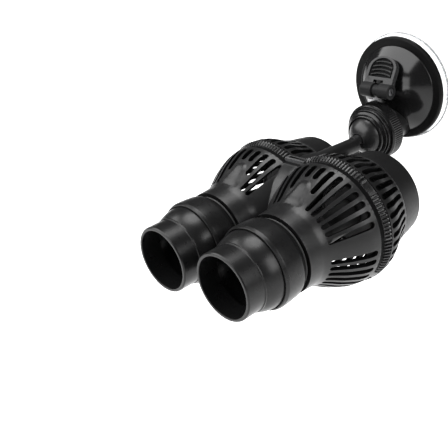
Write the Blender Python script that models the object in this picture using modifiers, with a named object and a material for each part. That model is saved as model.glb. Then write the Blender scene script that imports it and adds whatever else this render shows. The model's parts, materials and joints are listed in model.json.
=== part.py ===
"""Twin-head wave maker pump on a ball-jointed suction mount.

Metres, +Z up.  The glass the mount holds on to is the plane Y = 0 and the two
water jets leave along -Y.  All driving dimensions below are millimetres.
"""
import math

import bmesh
import bpy
from mathutils import Matrix, Vector

MM = 0.001
SEG = 36                     # facets round a turned part
WELD = 0.00001               # merge distance of screw and mirror, metres

# Layout: the two heads lie side by side, their axes along Y
HEAD_X = 21.6                # half the spacing of the two head axes
HEAD_Z = -40.4               # height of the head axes, suction cup centre is 0
BALL = (0.0, -30.5, -18.0)   # centre of the ball joint
PIN = (0.0, -22.5, 4.0)      # hinge of the suction lever
CUP_R = 28.4                 # suction cover
RUBBER_R = 29.8
LEVER_TILT = 31.5            # degrees the closed lever leans back from vertical

# Stations of a head along Y, from the glass forwards
CAN_REAR = -49.3
CAN_FRONT = -65.1
POD_FRONT = -78.0            # front of the motor pods inside the rear cage
REAR_CAGE_BACK = -65.4
REAR_CAGE_FRONT = -86.0
BAND_BACK = -86.3
BAND_STEP = -89.8
BAND_FRONT = -92.7
CAGE_BACK = -93.0
COLLAR_BACK = -118.2
COLLAR_FRONT = -128.3
RING_BACK = -130.0
RING_FRONT = -144.8
SWIVEL_Y = -143.9            # centre of the nozzle tip's spherical seat
TIP_FRONT = -164.0

POD_R = 16.8                 # motor pod
SWIVEL_R = 19.8              # nozzle tip's ball
SEAT_R = 20.1                # its seat in the nozzle ring
BALL_R = 11.0                # mount ball
STEM_LEAN = 3.11             # degrees the stem rises towards the cage
STEM_Z = -22.14              # height of its axis where it would meet the glass

# Slots: (angle from the outer side in degrees, front end, back end)
LONG = (-116.2, -94.8)
MEDIUM = (-109.2, -94.8)
SHORT = (-102.6, -94.8)
SLOT_PITCH = 9.6
SLOT_WIDTH = 2.6
REAR_SLOT_PITCH = 8.4
REAR_SLOT_WIDTH = 2.7
REAR_SLOT = (-84.9, -67.4)

BLACK = (0.018, 0.018, 0.020)


# ---------------------------------------------------------------- helpers

def clear_scene():
    for obj in list(bpy.data.objects):
        bpy.data.objects.remove(obj, do_unlink=True)


def new_collection(name, parent):
    coll = bpy.data.collections.new(name)
    parent.children.link(coll)
    return coll


def material(name, colour, roughness, metallic=0.0, transmission=0.0):
    mat = bpy.data.materials.new(name)
    mat.use_nodes = True
    shader = mat.node_tree.nodes["Principled BSDF"]
    shader.inputs["Base Color"].default_value = (*colour, 1.0)
    shader.inputs["Roughness"].default_value = roughness
    shader.inputs["Metallic"].default_value = metallic
    shader.inputs["Transmission Weight"].default_value = transmission
    mat.diffuse_color = (*colour, 1.0)
    return mat


def part(name, mesh, look):
    """Link a mesh as a named sub-part with a material of its own."""
    obj = bpy.data.objects.new(name, mesh)
    PARTS.objects.link(obj)
    if mesh is not None:
        mesh.materials.clear()
        mesh.materials.append(material(name + "_mat", *look))
    return obj


def cutter(name, mesh):
    obj = bpy.data.objects.new(name, mesh)
    CUTTERS.objects.link(obj)
    obj.hide_render = True
    obj.display_type = "WIRE"
    return obj


def oriented(profile):
    """Order a profile so that its outer side runs top to bottom."""
    area = 0.0
    for (r0, y0), (r1, y1) in zip(profile, profile[1:] + profile[:1]):
        area += r0 * y1 - r1 * y0
    return profile if area < 0 else profile[::-1]


def profile_mesh(name, profile, phase=0.0):
    """Profile of (radius, station) pairs: closed ring, or open with both ends on the axis."""
    pts = oriented(list(profile))
    on_axis = [i for i, p in enumerate(pts) if p[0] == 0.0]
    closed = len(on_axis) < 2
    if not closed:
        while not (pts[0][0] == 0.0 and pts[-1][0] == 0.0):
            pts = pts[1:] + pts[:1]
    mesh = bpy.data.meshes.new(name)
    verts = [(r * MM * math.cos(phase), r * MM * math.sin(phase), y * MM) for r, y in pts]
    edges = [(i, i + 1) for i in range(len(pts) - 1)]
    if closed:
        edges.append((len(pts) - 1, 0))
    mesh.from_pydata(verts, edges, [])
    return mesh


def turn(obj, x=0.0, z=0.0, segments=SEG):
    """Stand a profile on its axis along world Y and spin it."""
    obj.location = (x * MM, 0.0, z * MM)
    obj.rotation_euler = (-math.pi / 2, 0.0, 0.0)
    screw = obj.modifiers.new("spin", "SCREW")
    screw.axis = "Z"
    screw.angle = 2 * math.pi
    screw.steps = segments
    screw.render_steps = segments
    screw.use_merge_vertices = True
    screw.merge_threshold = WELD
    screw.use_smooth_shade = False
    return obj


def lathe(name, profile, look, x=0.0, z=0.0, segments=SEG):
    return turn(part(name, profile_mesh(name, profile), look), x, z, segments)


def twin_lathe(name, profile, look):
    """Right head of a twin part, turned so that a facet and not an edge meets the mirror."""
    mesh = profile_mesh(name, profile, math.pi / SEG)
    return turn(part(name, mesh, look), HEAD_X, HEAD_Z)


def lathe_cutter(name, profile, x=0.0, z=0.0, segments=SEG):
    return turn(cutter(name, profile_mesh(name, profile)), x, z, segments)


def boolean(obj, other, operation):
    mod = obj.modifiers.new(operation.lower() + "_" + other.name, "BOOLEAN")
    mod.operation = operation
    mod.solver = "EXACT"
    mod.object = other
    return mod


def mirror_heads(obj):
    """Cut the right head at the middle plane and mirror it into the twin."""
    mod = obj.modifiers.new("twin", "MIRROR")
    mod.mirror_object = CENTRE
    mod.use_axis = (True, False, False)
    mod.use_bisect_axis = (True, False, False)
    mod.use_mirror_merge = True
    mod.bisect_threshold = WELD / 10
    mod.merge_threshold = WELD
    return mod


def box_mesh(name, boxes):
    """One mesh of boxes, each (size, matrix) in millimetres."""
    bm = bmesh.new()
    for size, matrix in boxes:
        scale = Matrix.Diagonal((*[s * MM for s in size], 1.0))
        place = Matrix.Translation(matrix.translation * MM) @ matrix.to_3x3().to_4x4()
        bmesh.ops.create_cube(bm, size=1.0, matrix=place @ scale)
    mesh = bpy.data.meshes.new(name)
    bm.to_mesh(mesh)
    bm.free()
    return mesh


def cylinder_mesh(name, radius, length, matrix, segments=32):
    """Capped cylinder along the matrix's Z, centred on it, millimetres."""
    bm = bmesh.new()
    place = Matrix.Translation(matrix.translation * MM) @ matrix.to_3x3().to_4x4()
    bmesh.ops.create_cone(bm, cap_ends=True, segments=segments, radius1=radius * MM,
                          radius2=radius * MM, depth=length * MM, matrix=place)
    mesh = bpy.data.meshes.new(name)
    bm.to_mesh(mesh)
    bm.free()
    return mesh


def plate_mesh(name, outline, thickness, matrix):
    """Flat outline in the matrix's XY plane, extruded to a thickness about it."""
    curve = bpy.data.curves.new(name, "CURVE")
    curve.dimensions = "2D"
    curve.fill_mode = "BOTH"
    curve.extrude = thickness * MM / 2
    spline = curve.splines.new("POLY")
    spline.points.add(len(outline) - 1)
    for point, (u, v) in zip(spline.points, outline):
        point.co = (u * MM, v * MM, 0.0, 1.0)
    spline.use_cyclic_u = True
    holder = bpy.data.objects.new(name, curve)
    bpy.context.scene.collection.objects.link(holder)
    graph = bpy.context.evaluated_depsgraph_get()
    mesh = bpy.data.meshes.new_from_object(holder.evaluated_get(graph))
    bpy.data.objects.remove(holder, do_unlink=True)
    bm = bmesh.new()
    bm.from_mesh(mesh)
    bmesh.ops.remove_doubles(bm, verts=bm.verts, dist=WELD)
    bmesh.ops.recalc_face_normals(bm, faces=bm.faces)
    place = Matrix.Translation(matrix.translation * MM) @ matrix.to_3x3().to_4x4()
    bmesh.ops.transform(bm, matrix=place, verts=bm.verts)
    bm.to_mesh(mesh)
    bm.free()
    return mesh


def arc(radius, centre_y, start, stop, count):
    """Points of a circle on the axis; angles in degrees from +Y towards the rim."""
    pts = []
    for i in range(count):
        a = math.radians(start + (stop - start) * i / (count - 1))
        pts.append((radius * math.sin(a), centre_y + radius * math.cos(a)))
    return pts


def along_x(x, y, z):
    """Frame at a point with its Z along world X."""
    return Matrix.Translation((x, y, z)) @ Matrix.Rotation(math.pi / 2, 4, "Y")


def radial(angle, radius, y, x=HEAD_X, z=HEAD_Z):
    """Frame on a head: X outwards at the angle, Y along the head."""
    turned = Matrix.Rotation(-math.radians(angle), 4, "Y")
    return Matrix.Translation((x, y, z)) @ turned @ Matrix.Translation((radius, 0.0, 0.0))


def set_origin(obj, point):
    """Move an object's origin to a point without moving its mesh."""
    target = Vector(point) * MM
    shift = target - obj.location
    obj.data.transform(Matrix.Translation(-shift))
    obj.location = target


# ------------------------------------------------------------ the mount

def build_mount():
    rubber_look = ((0.62, 0.64, 0.65), 0.18, 0.0, 0.8)
    rubber = lathe("suction_rubber", [
        (0, -2.7), (27.2, -2.7), (28.3, -2.2), (RUBBER_R, -0.9), (RUBBER_R, 0.0), (0, 0.0),
    ], rubber_look, segments=40)
    tab = cutter("pull_tab", box_mesh("pull_tab", [
        ((5.0, 0.9, 5.0), Matrix.Translation((RUBBER_R - 1.1, -0.45, -2.0)))]))
    boolean(rubber, tab, "UNION")

    # Cover: flat rim, shallow dome, and the socket tube moulded on below its centre
    dome_rise = 8.9
    dome_foot = 23.6
    dome_r = (dome_foot ** 2 + dome_rise ** 2) / (2 * dome_rise)
    dome_y = -15.0 + dome_r
    half = math.degrees(math.asin(dome_foot / dome_r))
    outer = [(r, 2 * dome_y - y) for r, y in arc(dome_r, dome_y, half, 0, 6)]
    outer[-1] = (0.0, -15.0)
    inner_r = dome_r - 2.0
    half_in = math.degrees(math.asin(21.8 / inner_r))
    inner = [(r, 2 * dome_y - y) for r, y in arc(inner_r, dome_y, 0, half_in, 5)]
    inner[0] = (0.0, -13.0)
    cover = lathe("suction_cover", outer + inner + [
        (22.6, -3.0), (27.9, -3.0), (CUP_R, -3.5), (CUP_R, -5.5), (27.8, -6.1),
    ], (BLACK, 0.32), segments=40)
    cavity = arc(12.35, BALL[1], 22, 82, 5)
    socket = lathe_cutter("socket_tube", [
        (0, -4.6), (9.5, -4.6), (9.5, -17.6), (14.0, -21.4), (14.0, -28.9),
        *cavity[::-1], (0, BALL[1] + 12.35),
    ], z=BALL[2], segments=24)
    boolean(cover, socket, "UNION")
    post_hole = cutter("post_hole", box_mesh("post_hole", [
        ((7.8, 9.0, 10.4), Matrix.Translation((0.0, -12.5, 2.2)))]))
    boolean(cover, post_hole, "DIFFERENCE")

    # Post: foot inside the dome, square shank, eye on the lever pin
    post = part("cup_post", box_mesh("cup_post", [
        ((6.2, 9.8, 7.4), Matrix.Translation((0.0, -12.9, 2.2)))]), (BLACK, 0.4))
    tongue = cutter("post_tongue", box_mesh("post_tongue", [
        ((3.2, 6.0, 5.4), Matrix.Translation((0.0, -18.5, 3.2)))]))
    foot = cutter("post_foot", cylinder_mesh(
        "post_foot", 7.4, 2.0,
        Matrix.Translation((0.0, -8.0, 0.0)) @ Matrix.Rotation(math.pi / 2, 4, "X")))
    eye = cutter("post_eye", cylinder_mesh("post_eye", 3.4, 3.2, along_x(*PIN), 24))
    eye_bore = cutter("post_eye_bore",
                      cylinder_mesh("post_eye_bore", 2.3, 8.0, along_x(*PIN), 20))
    boolean(post, foot, "UNION")
    boolean(post, tongue, "UNION")
    boolean(post, eye, "UNION")
    boolean(post, eye_bore, "DIFFERENCE")

    pin = part("lever_pin", cylinder_mesh("lever_pin", 2.0, 18.6, along_x(*PIN), 20),
               ((0.55, 0.56, 0.57), 0.25, 1.0))
    set_origin(pin, PIN)

    # Lever: round-topped plate with two knuckles that straddle the post's eye
    lean = Matrix.Translation(PIN) @ Matrix.Rotation(-math.radians(LEVER_TILT), 4, "X")
    face = lean @ Matrix.Rotation(math.pi / 2, 4, "X")
    outline = [(9.0, 0.0), (9.0, 11.4)]
    outline += [(9.0 * math.cos(a), 11.4 + 7.0 * math.sin(a))
                for a in [math.radians(22.5 * i) for i in range(1, 8)]]
    outline += [(-9.0, 11.4), (-9.0, 0.0), (-1.9, 0.0), (-1.9, 3.9), (-3.2, 3.9), (-3.2, 5.3),
                (3.2, 5.3), (3.2, 3.9), (1.9, 3.9), (1.9, 0.0)]
    lever = part("lever", plate_mesh("lever", outline, 3.0, face), (BLACK, 0.34))
    for side in (-1, 1):
        knuckle = cutter("knuckle_%d" % (side + 1), cylinder_mesh(
            "knuckle", 4.0, 7.3, along_x(side * 5.55, PIN[1], PIN[2]), 24))
        boolean(lever, knuckle, "UNION")
    lever_bore = cutter("lever_bore",
                        cylinder_mesh("lever_bore", 2.3, 24.0, along_x(*PIN), 20))
    boolean(lever, lever_bore, "DIFFERENCE")
    grips = []
    for i in range(4):
        grip = face @ Matrix.Translation((0.0, 8.2 + 2.1 * i, 1.5))
        grips.append(((12.4, 0.9, 0.9), grip))
    boolean(lever, cutter("lever_grips", box_mesh("lever_grips", grips)), "DIFFERENCE")
    set_origin(lever, PIN)

    # Nut with a stepped cone in front and a knurled skirt
    nut = lathe("lock_nut", [
        (14.3, -21.8), (15.8, -21.8), (15.6, -29.7), (15.0, -30.4), (13.7, -30.9),
        (13.2, -32.2), (12.8, -33.1), (11.5, -34.0), (11.1, -35.2), (10.4, -35.4),
        (10.8, -34.2), (11.7, -33.0), (11.9, -32.2), (13.3, -30.0), (13.3, -29.3),
        (14.3, -29.3),
    ], (BLACK, 0.36), z=BALL[2], segments=30)
    grooves = []
    for i in range(20):
        grooves.append(((0.9, 6.2, 1.3), radial(i * 18.0, 15.85, -25.6, 0.0, BALL[2])))
    boolean(nut, cutter("nut_knurl", box_mesh("nut_knurl", grooves)), "DIFFERENCE")

    lathe("clamp_ring", [
        (11.4, -29.2), (12.95, -29.2), (12.95, -29.9), (11.7, -31.8), (11.4, -31.8),
    ], ((0.10, 0.10, 0.11), 0.5), z=BALL[2], segments=24)

    # Thin seat behind the ball: turns in the socket, carries the ball
    lathe("ball_seat", [
        *arc(12.05, BALL[1], 0.0, 60, 5), *arc(11.4, BALL[1], 60, 0.0, 5),
    ], ((0.10, 0.10, 0.11), 0.45), z=BALL[2], segments=24)

    front = 180.0 - math.degrees(math.asin(3.5 / BALL_R))
    lathe("mount_ball", [
        *arc(BALL_R, BALL[1], 0.0, front, 10), (3.5, -28.0), (0.0, -28.0),
    ], (BLACK, 0.22), z=BALL[2], segments=24)


# ------------------------------------------------------------- the pump

def lean_stem(obj):
    """Tilt a lathed piece onto the stem's leaning axis."""
    obj.location = (0.0, 0.0, STEM_Z * MM)
    obj.rotation_euler.x = -math.pi / 2 - math.radians(STEM_LEAN)
    return obj


def build_housing():
    # Motor housing: the two cans joined, with a short pod for each motor inside the cage
    housing = twin_lathe("motor_housing", [
        (0, CAN_REAR), (22.0, CAN_REAR), (23.3, -49.8), (23.9, -51.2), (26.1, CAN_FRONT),
        (POD_R, CAN_FRONT), (POD_R, POD_FRONT), (15.2, POD_FRONT), (15.2, -52.4), (0, -52.4),
    ], (BLACK, 0.38))
    mirror_heads(housing)

    # Rear cage: slotted flare from the cans out to the band
    flare = twin_lathe("rear_cage", [
        (24.2, REAR_CAGE_BACK), (26.4, REAR_CAGE_BACK), (32.5, -79.4),
        (33.3, REAR_CAGE_FRONT), (30.9, REAR_CAGE_FRONT), (30.2, -79.8),
    ], (BLACK, 0.4))
    slots = []
    count = 15
    for i in range(-count, count + 1):
        angle = i * REAR_SLOT_PITCH
        mid = (REAR_SLOT[0] + REAR_SLOT[1]) / 2
        length = REAR_SLOT[1] - REAR_SLOT[0]
        slots.append(((16.0, length, REAR_SLOT_WIDTH), radial(angle, 32.0, mid)))
    boolean(flare, cutter("rear_slots", box_mesh("rear_slots", slots)), "DIFFERENCE")
    mirror_heads(flare)
    saddle = cutter("stem_saddle", box_mesh("stem_saddle", [
        ((11.0, 7.2, 9.0), Matrix.Translation((0.0, -82.4, HEAD_Z + 22.4)))]))
    boolean(flare, saddle, "UNION")
    stem_bed = lean_stem(lathe_cutter("stem_bed", [
        (0, -60.0), (4.6, -60.0), (4.6, -79.0), (3.4, -79.0), (3.4, -84.6), (0, -84.6),
    ]))
    boolean(flare, stem_bed, "DIFFERENCE")

    # Stem: leaning rod with a rib below, and a neck that enters the ball along the ball's axis
    stem = lean_stem(lathe("stem_arm", [
        (0, -43.2), (3.6, -43.2), (4.1, -43.9), (4.3, -78.7), (3.0, -78.7), (3.0, -84.2),
        (0, -84.2),
    ], (BLACK, 0.36), segments=24))
    neck = lathe_cutter("stem_neck", [
        (0, -28.4), (3.0, -28.4), (3.0, -45.5), (0, -45.5),
    ], z=BALL[2], segments=20)
    boolean(stem, neck, "UNION")
    side_on = Matrix(((0, 0, 1, 0), (1, 0, 0, 0), (0, 1, 0, 0), (0, 0, 0, 1)))
    rib = cutter("stem_rib", plate_mesh("stem_rib", [
        (-43.6, -20.0), (-41.9, -24.2), (-42.6, -26.3), (-50.0, -25.9), (-54.0, -25.1),
        (-64.0, -21.0),
    ], 3.2, side_on))
    boolean(stem, rib, "UNION")

    # Grip band: outer band with a recessed lip the front cage closes against
    band = twin_lathe("grip_band", [
        (30.0, BAND_BACK), (33.4, BAND_BACK), (33.9, -86.8), (32.7, -89.4), (32.3, BAND_STEP),
        (31.5, BAND_STEP), (31.5, BAND_FRONT), (30.0, BAND_FRONT),
    ], (BLACK, 0.42))
    mirror_heads(band)
    chord = cutter("band_chord", box_mesh("band_chord", [
        ((9.2, 3.5, 3.5), Matrix.Translation((0.0, (BAND_BACK + BAND_STEP) / 2, HEAD_Z + 27.1)))]))
    boolean(band, chord, "UNION")

    gland_y = CAN_REAR + 0.3
    lathe("cable_gland", [
        (0, gland_y), (5.6, gland_y), (5.6, -47.0), (4.6, -46.6), (4.0, -38.0), (3.4, -36.0),
        (2.3, -36.0), (2.3, -44.0), (0, -44.0),
    ], ((0.02, 0.02, 0.02), 0.6), 0.0, HEAD_Z - 8.0, 20)


def build_motor(side, tag):
    x = side * HEAD_X
    grey = (0.30, 0.31, 0.32)
    lathe("rotor_well_" + tag, [
        (0, -53.2), (9.6, -53.2), (9.6, -76.4), (14.9, -76.4), (14.9, -77.8), (8.6, -77.8),
        (8.6, -54.6), (0, -54.6),
    ], (BLACK, 0.5), x, HEAD_Z, 24)
    core = lathe("stator_core_" + tag, [
        (9.9, -61.0), (14.9, -61.0), (14.9, -73.4), (9.9, -73.4),
    ], (grey, 0.45, 0.9), x, HEAD_Z, 24)
    gaps = [((4.0, 18.0, 2.0), radial(60 * i, 10.2, -67.2, x)) for i in range(6)]
    boolean(core, cutter("core_gaps_" + tag, box_mesh("core_gaps", gaps)), "DIFFERENCE")
    lathe("coil_" + tag, [
        (10.0, -53.6), (14.8, -53.6), (14.8, -60.6), (10.0, -60.6),
    ], ((0.60, 0.24, 0.08), 0.35, 0.8), x, HEAD_Z, 24)
    lathe("magnet_" + tag, [
        (1.8, -59.4), (7.8, -59.4), (7.8, -73.4), (1.8, -73.4),
    ], ((0.05, 0.05, 0.055), 0.35, 0.3), x, HEAD_Z, 24)
    lathe("rotor_shaft_" + tag, [
        (0, -55.0), (1.5, -55.0), (1.5, -112.0), (0, -112.0),
    ], ((0.85, 0.84, 0.80), 0.2), x, HEAD_Z, 16)
    lathe("bush_rear_" + tag, [
        (1.8, -54.9), (8.3, -54.9), (8.3, -58.6), (1.8, -58.6),
    ], ((0.04, 0.04, 0.04), 0.8), x, HEAD_Z, 20)
    lathe("bearing_plate_" + tag, [
        (1.8, -74.2), (8.3, -74.2), (8.3, -77.4), (3.2, -77.4), (3.2, -78.4), (1.8, -78.4),
    ], ((0.10, 0.10, 0.11), 0.4), x, HEAD_Z, 20)

    propeller = lathe("impeller_" + tag, [
        (0, -112.4), (1.8, -112.4), (1.8, -79.2), (8.4, -79.2), (8.4, -99.5), (5.2, -105.5),
        (5.2, -114.6), (3.8, -118.0), (0, -119.4),
    ], ((0.05, 0.05, 0.055), 0.4), x, HEAD_Z, 20)
    blades = []
    for i in range(4):
        twist = Matrix.Rotation(side * math.radians(40), 4, "X")
        blades.append(((12.4, 9.0, 1.4), radial(90 * i + 45, 10.5, -109.6, x) @ twist))
    boolean(propeller, cutter("blades_" + tag, box_mesh("blades", blades)), "UNION")


# --------------------------------------------------- cage and nozzles

def build_front_cage():
    cage = twin_lathe("front_cage", [
        (28.0, -88.4), (29.7, -88.4), (29.7, CAGE_BACK), (32.2, CAGE_BACK), (28.8, -103.5),
        (25.2, -110.5), (20.9, COLLAR_BACK), (20.4, COLLAR_FRONT), (17.6, COLLAR_FRONT),
        (17.6, -131.0), (16.0, -131.0), (16.0, -127.9), (18.4, -127.9), (18.4, -119.0),
        (27.0, -103.0),
    ], (BLACK, 0.36))
    spans = []
    for k in range(1, 8):
        angle = 90 - SLOT_PITCH * (k + 0.5)
        spans.append((angle, MEDIUM if k == 1 else LONG))
    for k in range(3):
        spans.append((90 + SLOT_PITCH * (k + 1.5), MEDIUM if k == 0 else LONG))
    spans += [(90 - SLOT_PITCH / 2, SHORT), (90 + SLOT_PITCH / 2, SHORT)]
    spans += [(-angle, span) for angle, span in spans] + [(-8.6, LONG)]
    slots = []
    for angle, (front, back) in spans:
        size = (24.0, back - front, SLOT_WIDTH)
        slots.append((size, radial(angle, 31.5, (front + back) / 2)))
    boolean(cage, cutter("front_slots", box_mesh("front_slots", slots)), "DIFFERENCE")
    mirror_heads(cage)

    # Facet that fills the valley between the two domes, above and below
    top = [(-93.2, 26.8), (-98.0, 24.6), (-103.5, 20.6), (-108.0, 16.4), (-111.5, 12.0)]
    for sign, tag in ((1, "top"), (-1, "bottom")):
        outline = [(y, sign * z) for y, z in top] + [(y, sign * (z - 3.0)) for y, z in top[::-1]]
        frame = Matrix((
            (0.0, 0.0, 1.0, 0.0), (1.0, 0.0, 0.0, 0.0), (0.0, 1.0, 0.0, HEAD_Z), (0, 0, 0, 1)))
        web = cutter("web_" + tag, plate_mesh("web_" + tag, outline, 8.6, frame))
        boolean(cage, web, "UNION")


def build_nozzle(side, tag):
    x = side * HEAD_X
    ring_y = (COLLAR_FRONT + RING_BACK) / 2
    gasket = [(18.65 + 0.55 * math.sin(a), ring_y + 0.55 * math.cos(a))
              for a in [math.radians(60 * i) for i in range(6)]]
    lathe("nozzle_oring_" + tag, gasket, ((0.02, 0.02, 0.02), 0.7), x, HEAD_Z, 24)

    seat = arc(SEAT_R, SWIVEL_Y, 90, 63, 3)
    lathe("nozzle_ring_" + tag, [
        (17.9, RING_BACK), (19.4, RING_BACK), (20.7, -133.0), (21.3, -139.5), (21.2, -143.4),
        (20.6, RING_FRONT), (SEAT_R, RING_FRONT), *seat,
        (17.9, -134.2),
    ], (BLACK, 0.36), x, HEAD_Z)

    ball = arc(SWIVEL_R, SWIVEL_Y, 51.5, 117.5, 6)
    bore = arc(17.9, SWIVEL_Y, 122, 56.5, 4)
    lathe("nozzle_tip_" + tag, [
        *ball, (17.0, -154.0), (17.0, -163.5), (16.5, TIP_FRONT), (15.2, TIP_FRONT), *bore,
    ], (BLACK, 0.36), x, HEAD_Z)


clear_scene()
ROOT = new_collection("wave_maker_pump", bpy.context.scene.collection)
PARTS = ROOT
CUTTERS = new_collection("cutters", bpy.context.scene.collection)
CENTRE = bpy.data.objects.new("centre_plane", None)
ROOT.objects.link(CENTRE)

build_mount()
build_housing()
build_front_cage()
for head_side, head_tag in ((-1, "left"), (1, "right")):
    build_motor(head_side, head_tag)
    build_nozzle(head_side, head_tag)
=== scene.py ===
# Visual model of a twin-head wave maker pump on a ball-jointed suction mount.
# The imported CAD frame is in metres; the sizes written here are millimetres.
# The glass is the plane Y = 0 and the two water jets leave along -Y.
import json
import math

import bmesh
import bpy
from mathutils import Matrix, Vector


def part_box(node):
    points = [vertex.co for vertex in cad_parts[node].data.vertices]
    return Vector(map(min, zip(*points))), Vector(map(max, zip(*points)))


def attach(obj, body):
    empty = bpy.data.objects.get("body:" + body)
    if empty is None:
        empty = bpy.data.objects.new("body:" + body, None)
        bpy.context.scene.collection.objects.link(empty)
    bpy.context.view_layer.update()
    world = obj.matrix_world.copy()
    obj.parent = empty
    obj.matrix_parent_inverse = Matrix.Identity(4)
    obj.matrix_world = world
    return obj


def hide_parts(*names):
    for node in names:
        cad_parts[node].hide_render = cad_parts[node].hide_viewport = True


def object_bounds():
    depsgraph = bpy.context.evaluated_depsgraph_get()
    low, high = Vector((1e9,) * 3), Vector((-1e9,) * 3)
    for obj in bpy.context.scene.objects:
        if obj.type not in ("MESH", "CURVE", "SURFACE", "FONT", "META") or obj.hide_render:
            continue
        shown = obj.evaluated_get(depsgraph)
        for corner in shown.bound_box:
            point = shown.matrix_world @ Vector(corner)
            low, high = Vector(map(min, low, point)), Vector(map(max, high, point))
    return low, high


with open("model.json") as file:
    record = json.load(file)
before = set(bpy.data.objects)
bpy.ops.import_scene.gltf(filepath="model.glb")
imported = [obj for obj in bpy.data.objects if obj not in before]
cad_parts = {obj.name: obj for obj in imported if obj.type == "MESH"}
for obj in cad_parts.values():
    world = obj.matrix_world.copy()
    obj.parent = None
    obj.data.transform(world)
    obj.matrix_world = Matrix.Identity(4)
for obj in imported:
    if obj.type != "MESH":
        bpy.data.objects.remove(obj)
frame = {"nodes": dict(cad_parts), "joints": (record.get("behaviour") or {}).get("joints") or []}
CAD_BOX = [[float(v) for v in corner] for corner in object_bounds()]

MM = 0.001
TAU = 2 * math.pi
TINY = 1e-6  # lengths below this count as nothing
MERGE = 2e-6  # merge distance at the middle plane, metres

# Centres, taken from the joints
JOINTS = {joint["name"]: joint for joint in frame["joints"]}
HEAD_X, SWIVEL_Y, HEAD_Z = Vector(JOINTS["nozzle_turn_right"]["pos_m"]) / MM
BALL = Vector(JOINTS["aim_roll"]["pos_m"]) / MM
PIN = Vector(JOINTS["lever_swing"]["pos_m"]) / MM
AT_PIN = Matrix.Translation(PIN)
HEADS = ((1, "right"), (-1, "left"))
PLACES = ((1, "top"), (-1, "under"))

# Stations of a head along Y, from the glass forwards
CAN_REAR = -49.3
CAN_FRONT = -65.1
FLARE_BACK = -65.4
POD_FRONT = -78.0  # front of the motor pods inside the rear cage
FLARE_FRONT = -86.0
BAND_BACK = -86.3
BAND_STEP = -89.8  # the ribbed part of the band ends here
BAND_FRONT = -92.7
CAGE_BACK = -92.9
COLLAR_FRONT = -128.3
RING_BACK = -130.0
RING_FRONT = -144.8
TIP_FRONT = -164.0

AXLE = Matrix.Rotation(-math.pi / 2, 4, "Z")  # turns a rod from Y to X


# ---- camera

CAMERA_PLACE = (0.24775, -0.33766, 0.13121)  # metres
CAMERA_AXES = Matrix(((0.66809, 0.73193, -0.13389),  # right
                      (-0.24918, 0.38963, 0.88662),  # up
                      (0.70112, -0.55898, 0.44269)))  # back


def place_object(name, data):
    obj = bpy.data.objects.new(name, data)
    bpy.context.scene.collection.objects.link(obj)
    return obj


def make_camera():
    data = bpy.data.cameras.new("camera")
    data.sensor_width = 36.0
    data.lens = 60.82
    data.clip_start = 0.01
    data.clip_end = 50.0
    camera = place_object("camera", data)
    turn = CAMERA_AXES.transposed().to_4x4()
    camera.matrix_world = Matrix.Translation(CAMERA_PLACE) @ turn
    bpy.context.scene.camera = camera


# ---- materials

class Nodes:
    """Small helper that adds and links nodes in one material."""

    def __init__(self, name):
        self.mat = bpy.data.materials.new(name)
        self.mat.use_nodes = True
        self.tree = self.mat.node_tree
        self.shader = self.tree.nodes["Principled BSDF"]
        self.place = self.tree.nodes.new("ShaderNodeTexCoord").outputs["Object"]

    def put(self, value, socket):
        """Link another node's output to a socket, or set the socket to a constant."""
        if isinstance(value, bpy.types.NodeSocket):
            self.tree.links.new(value, socket)
        else:
            socket.default_value = value

    def add(self, kind, inputs, **settings):
        node = self.tree.nodes.new(kind)
        for key, value in settings.items():
            setattr(node, key, value)
        for key, value in inputs.items():
            self.put(value, node.inputs[key])
        return node

    def noise(self, size, detail=3.0, rough=0.55):
        return self.add("ShaderNodeTexNoise", {
            "Vector": self.place, "Scale": 1.0 / (size * MM), "Detail": detail,
            "Roughness": rough}).outputs["Fac"]

    def ramp(self, value, low, high, out_low, out_high):
        return self.add("ShaderNodeMapRange", {
            "Value": value, "From Min": low, "From Max": high,
            "To Min": out_low, "To Max": out_high}).outputs["Result"]

    def spread(self, noise, out_low=0.0, out_high=1.0):
        """Stretch a noise, which keeps near its middle, over a whole range."""
        return self.ramp(noise, 0.3, 0.7, out_low, out_high)

    def mix(self, factor, one, two):
        node = self.add("ShaderNodeMix", {"Factor": factor}, data_type="RGBA")
        sockets = [s for s in node.inputs if s.type == "RGBA"]
        for socket, value in zip(sockets, (one, two)):
            self.put(value if isinstance(value, bpy.types.NodeSocket) else (*value, 1.0), socket)
        return [s for s in node.outputs if s.type == "RGBA"][0]

    def bump(self, height, strength, depth, before=None):
        inputs = {"Height": height, "Strength": strength, "Distance": depth * MM}
        if before is not None:
            inputs["Normal"] = before
        return self.add("ShaderNodeBump", inputs).outputs["Normal"]

    def feed(self, **values):
        for key, value in values.items():
            self.put(value, self.shader.inputs[key.replace("_", " ")])


def shade(grey):
    """Grey with a trace of blue."""
    return (grey, grey, grey * 1.03)


def scaled(colour, share):
    return [c * share for c in colour]


def plastic(name, grey, rough, spread=0.05, relief=0.02, edge=3.2, shine=0.27):
    """Moulded plastic: fine satin grain, slow gloss change, lighter edges (wear and painted
    highlight).

    spread is the change in roughness, relief the grain's depth, edge how many times
    lighter the edges are (wear and painted highlight) and shine the specular level.
    """
    n = Nodes(name)
    flow = n.noise(size=14.0, detail=4.0)
    grain = n.noise(size=0.45, detail=2.0, rough=0.5)
    speck = n.noise(size=2.2, detail=5.0, rough=0.65)
    body = n.mix(n.spread(flow), shade(grey * 0.82), shade(grey * 1.2))
    edges = n.add("ShaderNodeNewGeometry", {}).outputs["Pointiness"]
    # Lighter along sharp edges: a little wear, and a painted highlight on the rounded edges.
    wear_and_highlight = n.ramp(edges, 0.515, 0.60, 0.0, 1.0)
    normal = n.bump(grain, 0.35, relief)
    normal = n.bump(flow, 0.25, relief * 8, normal)
    n.feed(Base_Color=n.mix(wear_and_highlight, body, shade(grey * edge + 0.004)),
           Roughness=n.spread(speck, rough - spread, rough + spread),
           Normal=normal, Specular_IOR_Level=shine)
    return name, n.mat


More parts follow.
